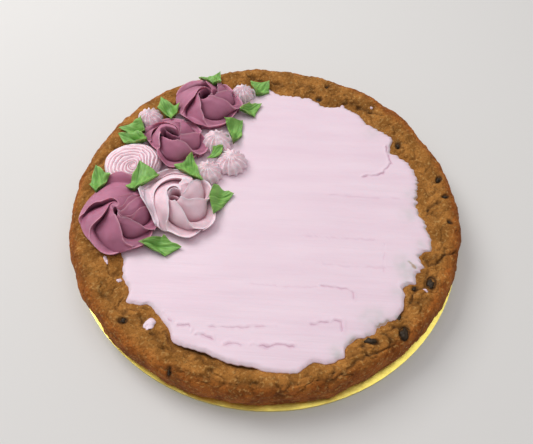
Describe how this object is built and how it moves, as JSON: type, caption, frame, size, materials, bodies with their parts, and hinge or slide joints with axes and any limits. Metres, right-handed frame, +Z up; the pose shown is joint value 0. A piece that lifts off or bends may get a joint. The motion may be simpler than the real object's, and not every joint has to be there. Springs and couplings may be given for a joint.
{
  "type": "cookie cake",
  "caption": "Round cookie cake on a foil board, spread with pale pink icing and dressed with piped buttercream roses, star kisses and leaves.",
  "frame": {"origin": "middle of the underside of the round cake board", "axes": "+Z up, +X to the right and +Y to the back as the cake is looked at from its front, with the flowers at the left rear"},
  "size_m": [0.254, 0.254, 0.0442],
  "materials": {
    "gold_foil": "bright gold foil on card",
    "baked_crust": "baked, craggy and matt",
    "pink_icing": "smooth spread icing, satin",
    "mauve_buttercream": "piped buttercream, satin",
    "pink_buttercream": "piped buttercream, satin",
    "green_buttercream": "piped buttercream, satin"
  },
  "bodies": {
    "root": {"board": "gold_foil", "cookie": "baked_crust", "icing": "pink_icing", "rose_mauve_rear": "mauve_buttercream", "rose_mauve_mid": "mauve_buttercream", "rose_mauve_front": "mauve_buttercream", "rose_pink": "pink_buttercream", "swirl_pink": "pink_buttercream", "kiss_rear_left": "pink_buttercream", "kiss_rear_right": "pink_buttercream", "kiss_upper": "pink_buttercream", "kiss_right": "pink_buttercream", "kiss_lower": "pink_buttercream", "leaf_01": "green_buttercream", "leaf_02": "green_buttercream", "leaf_03": "green_buttercream", "leaf_04": "green_buttercream", "leaf_05": "green_buttercream", "leaf_06": "green_buttercream", "leaf_07": "green_buttercream", "leaf_08": "green_buttercream", "leaf_09": "green_buttercream", "leaf_10": "green_buttercream", "leaf_11": "green_buttercream", "leaf_12": "green_buttercream", "leaf_13": "green_buttercream"}
  },
  "joints": []
}
